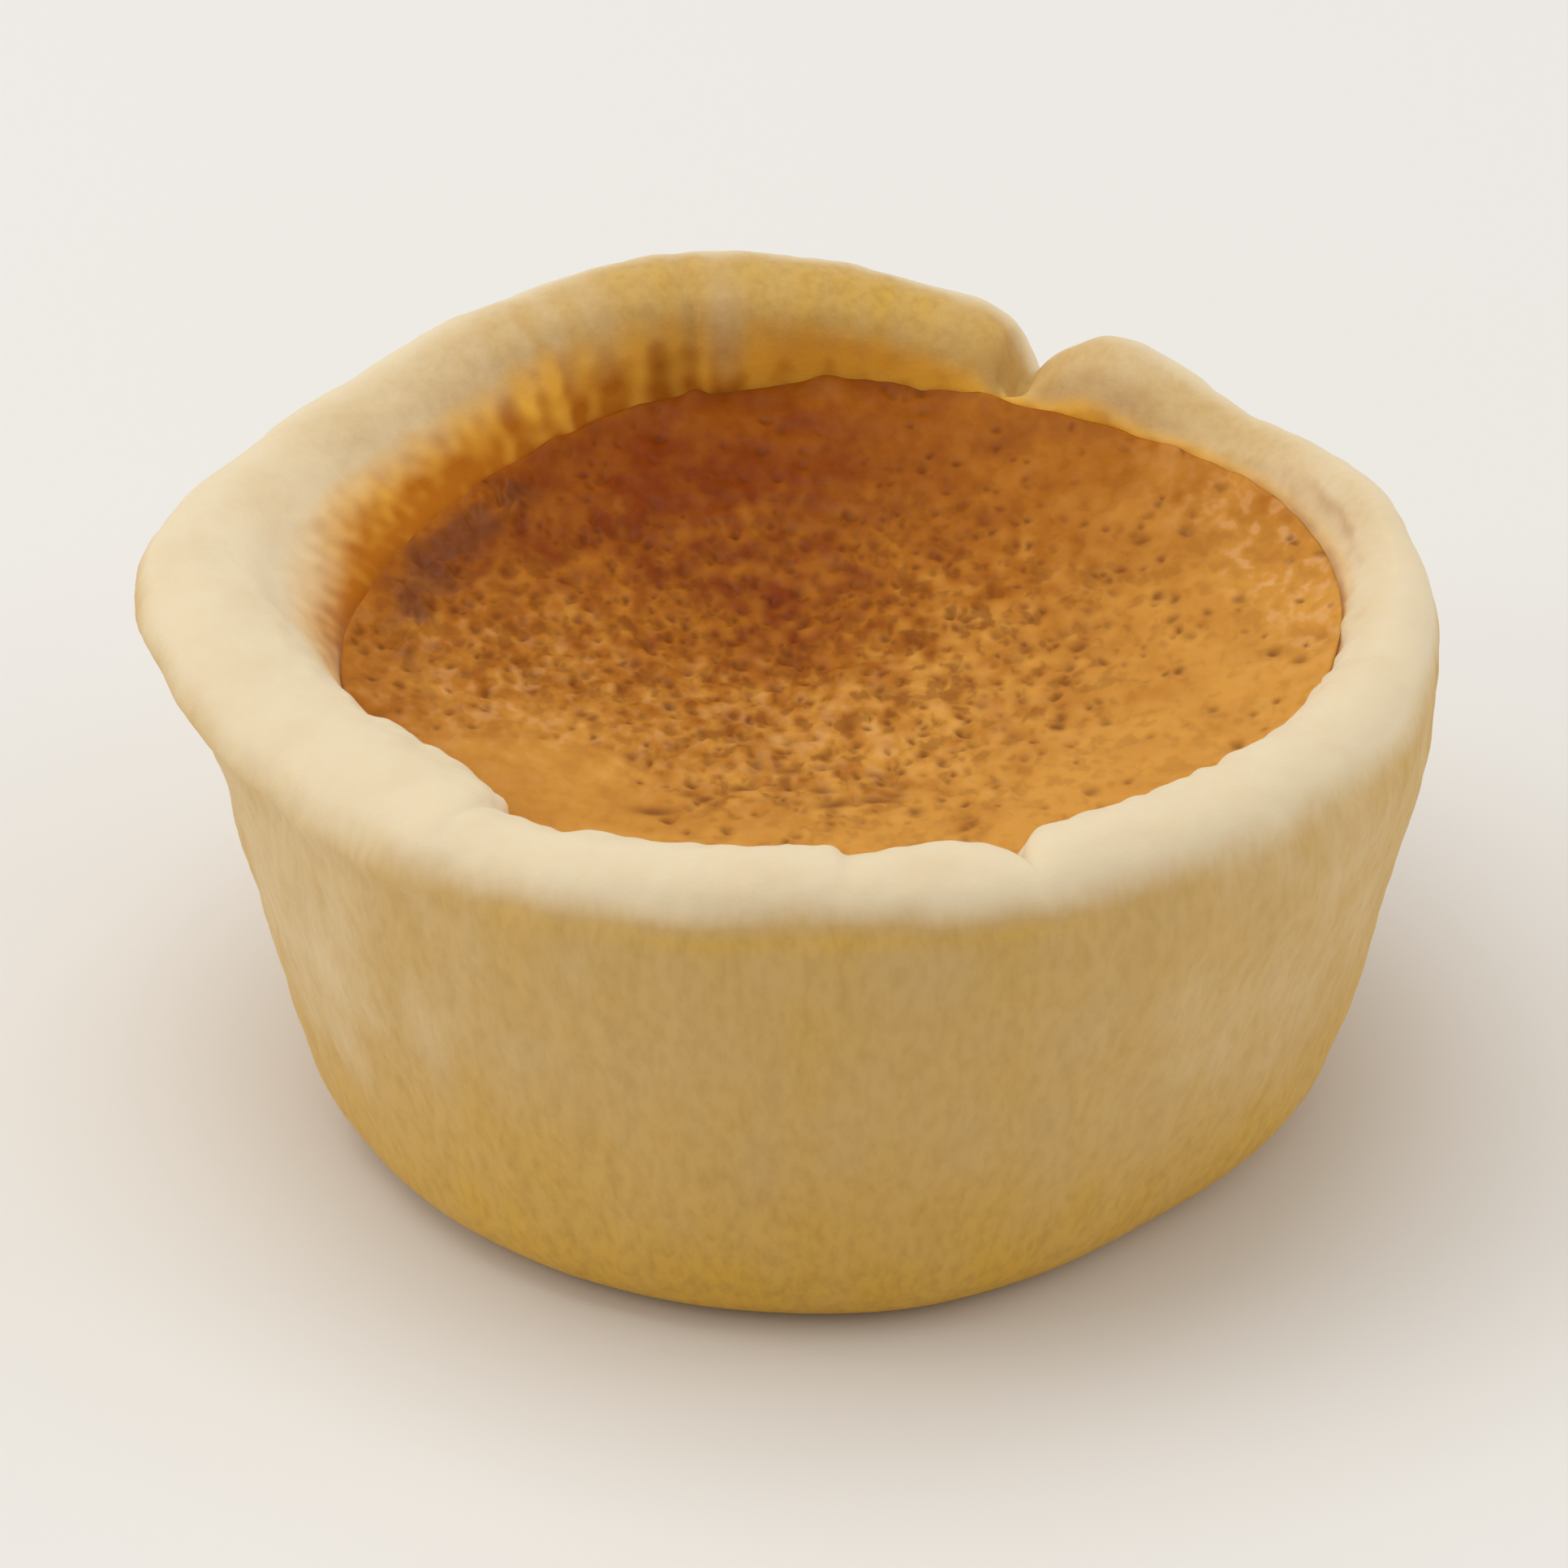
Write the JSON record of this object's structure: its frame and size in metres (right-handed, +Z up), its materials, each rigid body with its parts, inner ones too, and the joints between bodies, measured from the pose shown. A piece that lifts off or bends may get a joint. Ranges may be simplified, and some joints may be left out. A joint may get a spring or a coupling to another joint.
{
  "type": "butter tart",
  "caption": "Hand-pressed round pastry cup with a rolled, uneven lip, filled nearly to the lip with a baked, dished caramel-brown filling.",
  "frame": {"origin": "middle of the flat underside", "axes": "+Z up out of the cup, -Y towards the viewer of the picture, -X towards the side of the lip that flares out"},
  "size_m": [0.0709, 0.0674, 0.0345],
  "materials": {
    "pastry": "baked shortcrust pastry, matt, pale on the lip and golden towards the foot",
    "filling": "baked butter and brown sugar filling, porous skin with a soft sheen"
  },
  "bodies": {
    "root": {"crust": "pastry", "filling": "filling"}
  },
  "joints": []
}
